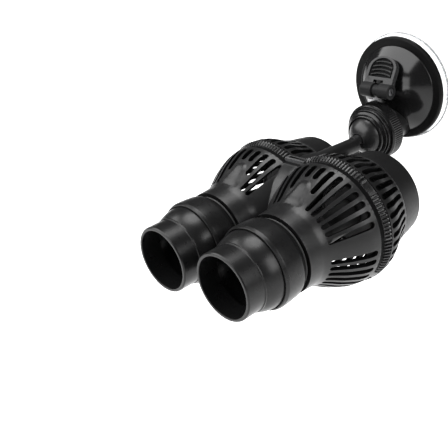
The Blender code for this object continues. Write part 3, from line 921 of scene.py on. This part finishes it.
def build_nozzles():
    for side, tag in HEADS:
        x = side * HEAD_X
        ring = lathe("nozzle_barrel_" + tag, [
            (BORE_R, RING_BACK, 0.3), (19.2, RING_BACK, 1.0), (20.75, -133.2, 3.0),
            (21.3, -139.5, 8.0), (21.3, -143.2, 0.9), (20.7, RING_FRONT, 0.35),
            (20.15, RING_FRONT, 0.1), *arc(SEAT_R, SWIVEL_Y, 90, 63, 10), (BORE_R, -134.2, 0.4)],
            x, HEAD_Z, 176, steps=5)
        dress(ring, "nozzle_ring_" + tag, "nozzle_plastic", "nozzle_ring_" + tag)

        tip = lathe("nozzle_mouth_" + tag, [
            *arc(SWIVEL_R, SWIVEL_Y, 51.5, 116.0, 24),
            (17.42, -153.35, 0.25), (17.42, -153.95, 0.2), (17.0, -154.25, 0.15),
            (17.0, -163.3, 0.35), (16.55, TIP_FRONT, 0.3), (15.3, TIP_FRONT, 0.35),
            *arc(BORE_R, SWIVEL_Y, 122, 56.5, 14)], x, HEAD_Z, 176, steps=4)
        dress(tip, "nozzle_tip_" + tag, "nozzle_plastic", "nozzle_tip_" + tag)

        gasket = ring_section(18.2, (COLLAR_FRONT + RING_BACK) / 2, 0.55, 16)
        dress(lathe("nozzle_seal_" + tag, gasket, x, HEAD_Z, 128), "cage", "seal_rubber",
              "nozzle_oring_" + tag)


# ---- rotor and bearing

BLADES = 4
BLADE_Y = -109.6  # middle of the blades
BLADE_ROOT = 4.6
BLADE_SPAN = 12.0
BLADE_HALF_CHORD = 4.3
BLADE_HALF_THICK = 0.68
BLADE_CAMBER = 0.5
BLADE_PITCH = 46  # degrees at the root
BLADE_TWIST = 14  # degrees less at the tip
SHAFT_BORE = 1.8


def blade(x, turn, side):
    """One swept blade: rounded plate whose pitch eases off towards its tip."""
    rows = cols = 13

    def point(i, j, layer):
        reach = i / (rows - 1)
        r = BLADE_ROOT + BLADE_SPAN * reach
        c = 2.0 * j / (cols - 1) - 1.0
        bow = 1 - c * c
        pitch = math.radians(side * (BLADE_PITCH - BLADE_TWIST * reach))
        thick = BLADE_HALF_THICK * math.sqrt(max(0.0, bow)) * (1 - 0.45 * reach)
        along = c * BLADE_HALF_CHORD * (1.0 - 0.25 * reach ** 3)
        across = (-thick if layer else thick) + BLADE_CAMBER * bow
        y = along * math.cos(pitch) - across * math.sin(pitch)
        a = math.radians(turn) + (along * math.sin(pitch) + across * math.cos(pitch)) / r
        return (x + r * math.cos(a), BLADE_Y + y, HEAD_Z + r * math.sin(a))

    return slab("blade", rows, cols, point)


def build_rotors():
    for side, tag in HEADS:
        x = side * HEAD_X
        body = "rotor_" + tag
        hub = revolve("impeller_vanes_" + tag, rounded([
            (0, -112.4), (SHAFT_BORE, -112.4), (SHAFT_BORE, -79.2), (8.4, -79.2, 0.6),
            (8.4, -99.5, 3.0), (5.2, -105.5, 2.0), (5.2, -114.6, 2.5), (3.6, -118.2, 1.6),
            (0, -119.4)], 0.2, 5), x, HEAD_Z, 72)
        join(hub, *[blade(x, 45 + 360 / BLADES * i, side) for i in range(BLADES)])
        dress(smooth(hub, 40), body, "impeller_plastic", "impeller_" + tag)
        magnet = lathe("rotor_magnet_" + tag, [
            (SHAFT_BORE, -59.4), (7.8, -59.4, 0.5), (7.8, -73.4, 0.5), (SHAFT_BORE, -73.4)],
            x, HEAD_Z, 96)
        dress(magnet, body, "ferrite", "magnet_" + tag)
        shaft = lathe("rotor_pin_" + tag, [
            (0, -55.0), (1.5, -55.0, 0.4), (1.5, -112.0, 0.4), (0, -112.0)], x, HEAD_Z, 48)
        dress(shaft, body, "shaft_ceramic", "rotor_shaft_" + tag)
        plate = lathe("bearing_disc_" + tag, [
            (SHAFT_BORE, -74.2), (8.3, -74.2), (8.3, -77.4, 0.4), (7.0, -77.4, 0.2),
            (6.6, -76.9, 0.2), (3.9, -76.9, 0.3), (3.2, -78.4, 0.3), (SHAFT_BORE, -78.4)],
            x, HEAD_Z, 80, 0.2)
        dress(plate, "pump", "bearing_plastic", "bearing_plate_" + tag)


# ---- suction mount

DOME_FOOT = 23.6  # radius where the dome meets the rim
DOME_RISE = 8.9
DOME_TOP = -15.0
DOME_WALL = 2.0
DOME_R = (DOME_FOOT ** 2 + DOME_RISE ** 2) / (2 * DOME_RISE)
BALL_R = 11.0
STEM_HOLE_R = 3.5  # flat on the ball where the stem enters
TAB_END = 1.6  # rounded end of the pull tab


def build_lip():
    """Clear disc with its pull tab, and the thick bead round its edge."""
    lip = lathe("suction_lip", [
        (0, -2.7), (27.2, -2.7, 0.5), (28.3, -2.2, 0.8), (29.7, -0.9, 0.4), (29.7, 0.0, 0.1),
        (0, 0.0)], segments=176)
    low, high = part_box("suction_rubber")
    tip = high.x / MM - TAB_END
    turns = [math.radians(-90 + 15 * i) for i in range(13)]
    outline = [(28.2, -4.2), *((tip + TAB_END * math.cos(a), -2.0 + 2.3 * math.sin(a))
                               for a in turns), (28.2, 0.2)]
    flat = Matrix(((1, 0, 0, 0), (0, 0, -1, 0), (0, 1, 0, 0), (0, 0, 0, 1)))
    join(lip, soften(prism("tab", outline, 0.05, 0.85, flat), 0.2))
    dress(smooth(lip), "mount", "clear_rubber", "suction_rubber", look="clear_lip")
    bead = ring_section(29.3, -0.62, 0.42, 12)
    dress(lathe("suction_lip_bead", bead, segments=176), "mount", "clear_rubber",
          look="lip_edge")


def dome_arc(radius, foot, count):
    """Arc of the dome from its top out to a foot radius."""
    centre = DOME_TOP + DOME_R
    half = math.degrees(math.asin(foot / radius))
    return [(r, 2 * centre - y, corner) for r, y, corner in arc(radius, centre, 0, half, count)]


def build_cover():
    """Glossy dome with the post's opening, and the satin rim round it."""
    outer = dome_arc(DOME_R, DOME_FOOT, 26)[::-1]
    outer[0] = (*outer[0][:2], 0.5)
    outer[-1] = (0.0, DOME_TOP)
    inner = dome_arc(DOME_R - DOME_WALL, 21.8, 12)
    inner[0] = (0.0, DOME_TOP + DOME_WALL)
    dome = revolve("suction_dome", rounded([
        *outer, *inner, (22.4, -3.1), (24.4, -3.1), (24.4, -5.9)], 0.2, 4), segments=176)
    hole = box("hole", (7.8, 9.0, 10.4), (0.0, -12.5, 2.2))
    combine(dome, soften(hole, 1.0, 3), "DIFFERENCE")
    dress(smooth(dome, 30), "mount", "cover_plastic", "suction_cover", look="cover_gloss")
    rim = lathe("suction_rim", [
        (23.9, -6.1, 0.25), (23.9, -3.0, 0.2), (27.9, -3.0, 0.4), (28.4, -3.4, 0.3),
        (28.4, -5.4, 0.25), (27.7, -6.1, 0.2)], segments=176, steps=4)
    dress(rim, "mount", "cover_plastic", look="cover_rim")


def build_socket():
    """Socket tube under the dome, open towards the ball, and the ring in front of it."""
    cavity_r = 12.35
    socket = lathe("ball_socket", [
        (0, -4.6), (9.5, -4.6), (9.5, -17.6, 1.0), (14.0, -21.4, 0.6), (14.0, -28.9, 0.3),
        *arc(cavity_r, BALL.y, 22, 82, 12)[::-1], (0, BALL.y + cavity_r)], 0.0, BALL.z, 96)
    dress(socket, "mount", "black_plastic", look="post_plastic")
    ring = lathe("socket_ring", [
        (11.4, -29.2), (12.95, -29.2, 0.2), (12.95, -29.9, 0.2), (11.7, -31.8), (11.4, -31.8)],
        0.0, BALL.z, 96, 0.12)
    dress(ring, "mount", "inner_plastic", "clamp_ring")


def build_post():
    """Post that the lever draws on: shank, tongue and eye on a foot disc."""
    post = box("post_shank", (6.2, 9.8, 7.4), (0.0, -12.9, 2.2))
    combine(post, box("tongue", (3.2, 6.0, 5.4), (0.0, -18.5, 3.2)), "UNION")
    combine(post, rod("eye", 3.0, 1.6, AT_PIN, 0.3), "UNION")
    combine(post, rod("bore", 2.3, 6.0, AT_PIN, segments=48), "DIFFERENCE")
    foot = revolve("foot", rounded([(0, -9.0), (7.4, -9.0), (7.4, -7.0), (0, -7.0)]), segments=64)
    combine(post, foot, "UNION")
    dress(smooth(soften(post, 0.3, 3)), "cup_post", "black_plastic", "cup_post",
          look="knuckle_plastic")


def build_pin():
    """Hinge pin with a slot across each end."""
    half = 9.3
    pin = rod("lever_pin_rod", 2.0, half, AT_PIN, 0.35, steps=4)
    for end in (-1, 1):
        tip = PIN + Vector((end * half, 0, 0))
        groove = box("groove", (1.6, 0.7, 3.0), tip, Matrix.Rotation(0.5, 4, "X"))
        combine(pin, groove, "DIFFERENCE")
    dress(smooth(pin, 30), "cup_post", "pin_steel", "lever_pin")


# ---- thumb lever

LEVER_TILT = 31.5  # degrees the closed lever leans back from vertical
LEVER_HALF = 9.0  # half width
LEVER_ARCH = 11.4  # height over the pin where the rounded end starts
KNUCKLE_R = 4.0
KNUCKLE_X = 5.55
PANEL_HALF = 7.4  # recess with the grip ridges
PANEL_FOOT = 6.9
PANEL_ARCH = 11.6
PANEL_SHARE = 0.96  # the recess's floor is a little smaller than its walls
RIDGE_PITCH = 2.15
RIDGE_R = 0.58


def arched(half, foot, start, rise, step, count):
    """Outline with upright sides and an elliptic top, its points step degrees apart."""
    turns = [math.radians(step * i) for i in range(1, count)]
    top = [(half * math.cos(a), start + rise * math.sin(a)) for a in turns]
    return [(half, foot), (half, start), *top, (-half, start), (-half, foot)]


def build_lever():
    lean = AT_PIN @ Matrix.Rotation(-math.radians(LEVER_TILT), 4, "X")
    face = lean @ Matrix.Rotation(math.pi / 2, 4, "X")
    fork = [(-1.9, 0.0), (-1.9, 3.9), (-3.2, 3.9), (-3.2, 5.3), (3.2, 5.3), (3.2, 3.9),
            (1.9, 3.9), (1.9, 0.0)]
    outline = [*arched(LEVER_HALF, 0.0, LEVER_ARCH, 7.0, 9, 20), *fork]
    panel = arched(PANEL_HALF, PANEL_FOOT, PANEL_ARCH, 5.8, 12, 15)
    lever = prism("lever_tab", outline, -1.5, 1.5, face)
    combine(lever, prism("panel", panel, 0.1, 3.0, face), "DIFFERENCE")
    for side in (-1, 1):
        place = Matrix.Translation((side * KNUCKLE_X, PIN.y, PIN.z))
        combine(lever, rod("knuckle", KNUCKLE_R, 3.65, place, 0.5), "UNION")
    combine(lever, rod("bore", 2.3, 12.0, AT_PIN, segments=48), "DIFFERENCE")
    dress(smooth(soften(lever, 0.32, 3), 34), "lever", "lever_plastic", "lever")

    # The knuckles are rougher than the polished tab, and darker as painted shade
    lever.data.materials.append(LOOKS["knuckle_plastic"])
    for part in lever.data.polygons:
        centre = part.center / MM
        if math.hypot(centre.y - PIN.y, centre.z - PIN.z) < KNUCKLE_R + 0.05:
            part.material_index = 1

    # Dark plate on the recess floor: painted shade in the recess.
    floor = [(u * PANEL_SHARE, 11.0 + (v - 11.0) * PANEL_SHARE) for u, v in panel]
    dress(smooth(prism("lever_panel", floor, 0.02, 0.2, face)), "lever", "lever_plastic",
          look="painted_shade_black")
    for i, half in enumerate((6.4, 6.4, 6.4, 5.0)):
        ridge = grip_ridge("lever_rib_%d" % i, half)
        place = Matrix.Translation((0.0, 9.0 + RIDGE_PITCH * i, 0.75))
        aim(ridge, face @ place @ Matrix.Rotation(math.pi / 2, 4, "Z"))
        dress(smooth(ridge), "lever", "lever_plastic")


def grip_ridge(name, half):
    """Round-ended ridge that bows towards the lever's tip."""
    bow = 0.028  # sag in millimetres for each square millimetre of reach
    shaft = [(RIDGE_R, half * (-0.8 + 0.2 * k), 0.0) for k in range(9)]
    profile = [(0, -half), (RIDGE_R, -half, 0.5), *shaft, (RIDGE_R, half, 0.5), (0, half)]
    ridge = revolve(name, rounded(profile, 0.3, 5), segments=24)
    for vertex in ridge.data.vertices:
        vertex.co.x -= bow * vertex.co.y ** 2 / MM
    return ridge


def build_stop():
    """Bent steel tongue under the post, just above the nut."""
    stop = box("post_stop", (6.6, 0.9, 2.4), (-4.6, -20.3, -3.4))
    for size, place in (((3.4, 2.4, 0.9), (-2.9, -19.2, -2.2)),
                        ((2.4, 0.9, 2.4), (-2.4, -17.6, -1.4)),
                        ((2.4, 3.0, 0.9), (-2.4, -18.6, -2.0))):
        combine(stop, box("bend", size, place), "UNION")
    dress(smooth(soften(stop, 0.15)), "cup_post", "pin_steel", look="stop_steel")


# ---- lock nut and ball

KNURL_PITCH = 4.5  # degrees
KNURL_DEPTH = 0.32
KNURL_BACK = -22.6
KNURL_FRONT = -28.9
KNURL_R = 15.8


def knurl(angle, y, r):
    """Fine straight grooves round the nut's skirt."""
    if r < KNURL_R - 0.4 or not KNURL_FRONT < y < KNURL_BACK:
        return 0.0
    return -KNURL_DEPTH * (0.5 - 0.5 * math.cos(TAU * angle / KNURL_PITCH)) ** 2


def build_nut():
    """Knurled skirt, then steps that narrow towards the ball."""
    skirt = [(KNURL_R, y, 0.0) for y in (-22.9, -23.6, -25.6, -27.6, -28.6)]
    nut = lathe("lock_nut_cone", [
        (14.3, -21.8), (15.1, -21.8, 0.4), (KNURL_R, -22.3, 0.2), *skirt, (KNURL_R, -29.3, 0.3),
        (15.1, -30.35, 0.25), (14.6, -30.35, 0.15), (14.4, -30.1, 0.1), (13.95, -30.3, 0.1),
        (13.8, -31.9, 0.3), (13.25, -32.15, 0.2), (13.0, -31.8, 0.12), (12.95, -32.95, 0.3),
        (11.75, -33.85, 0.25), (11.5, -33.6, 0.1), (11.4, -34.9, 0.25), (11.0, -35.35, 0.2),
        (10.4, -35.4, 0.15), (10.8, -34.2), (11.7, -33.0), (11.9, -32.2), (13.3, -30.0),
        (13.3, -29.3), (14.3, -29.3)],
        0.0, BALL.z, 320, relief=knurl)
    dress(nut, "lock_nut", "nut_plastic", "lock_nut")


def build_ball():
    """Ball, and the seat cup behind it."""
    seat = lathe("ball_seat_cup", [
        *arc(12.05, BALL.y, 0.0, 60, 14), *arc(11.4, BALL.y, 60, 0.0, 14)], 0.0, BALL.z, 96, 0.1)
    dress(seat, "ball_seat", "inner_plastic", "ball_seat")
    front = 180.0 - math.degrees(math.asin(STEM_HOLE_R / BALL_R))
    ball = lathe("aim_ball", [
        *arc(BALL_R, BALL.y, 0.0, front, 48), (STEM_HOLE_R, -28.0), (0.0, -28.0)], 0.0, BALL.z, 144)
    dress(ball, "ball", "ball_plastic", "mount_ball")


# ---- carried-over CAD

CAD_LOOKS = {"rotor_well": "inner_black", "stator_core": "core_steel", "coil": "copper_winding",
             "bush_rear": "bush_rubber"}


def finish_cad_parts():
    """Give the CAD solids that stay visible their own finish."""
    for node_name, node in frame["nodes"].items():
        for prefix, look in CAD_LOOKS.items():
            if node_name.startswith(prefix) and not node.hide_render:
                node.data.materials.clear()
                node.data.materials.append(LOOKS[look])


# ---- stage

FLOOR_DROP = 0.16  # metres from the part down to the floor

# Light boxes: direction from the target, target, distance, width and height in metres, power
LIGHT_BOXES = {
    "side_box": ((0.86, 0.18, 0.42), (0.02, -0.11, -0.04), 0.55, 0.26, 0.34, 2.2),
    "front_box": ((-0.40, -0.60, 0.70), (0, -0.01, 0), 1.6, 2.53, 1.12, 60.0),
    "window": ((0.04, -0.98, 0.02), (0, -0.01, 0), 0.8, 0.20, 0.34, 1.1),
}


def place_light(holder, direction, target, distance):
    """Put a light some way off in a direction, shining at its target."""
    direction = Vector(direction).normalized()
    holder.location = Vector(target) + direction * distance
    holder.rotation_euler = direction.to_track_quat("Z", "Y").to_euler()


def build_floor():
    n = Nodes("pale_floor")
    cloud = n.noise(size=180.0)
    n.feed(Base_Color=n.mix(cloud, (0.90, 0.90, 0.90), (0.93, 0.93, 0.93)), Roughness=0.9)
    bpy.ops.mesh.primitive_circle_add(vertices=96, radius=6.0, fill_type="NGON",
                                      location=(0.0, 0.0, CAD_BOX[0][2] - FLOOR_DROP))
    floor = bpy.context.active_object
    floor.name = "studio_floor"
    floor.data.materials.append(n.mat)


def build_lights():
    world = bpy.data.worlds.new("studio")
    world.use_nodes = True
    bpy.context.scene.world = world
    back = world.node_tree.nodes["Background"]
    back.inputs["Color"].default_value = (1.0, 1.0, 1.0, 1.0)
    back.inputs["Strength"].default_value = 0.10

    sun = bpy.data.lights.new("overhead", "SUN")
    sun.energy = 3.4
    sun.angle = math.radians(38)
    place_light(place_object("overhead", sun), (-0.12, 0.22, 0.96), (0, 0, 0), 1.0)

    for name, (direction, target, distance, width, height, power) in LIGHT_BOXES.items():
        light = bpy.data.lights.new(name, "AREA")
        light.shape = "RECTANGLE"
        light.size = width
        light.size_y = height
        light.energy = power
        place_light(place_object(name, light), direction, target, distance)


# ---- build

make_camera()
LOOKS = make_materials()
build_cage()
build_band()
build_flare()
build_saddle()
build_cans()
build_stem()
build_gland()
build_nozzles()
build_rotors()
build_lip()
build_cover()
build_socket()
build_post()
build_pin()
build_lever()
build_stop()
build_nut()
build_ball()
finish_cad_parts()
build_floor()
build_lights()

bpy.context.scene.view_settings.view_transform = "Standard"
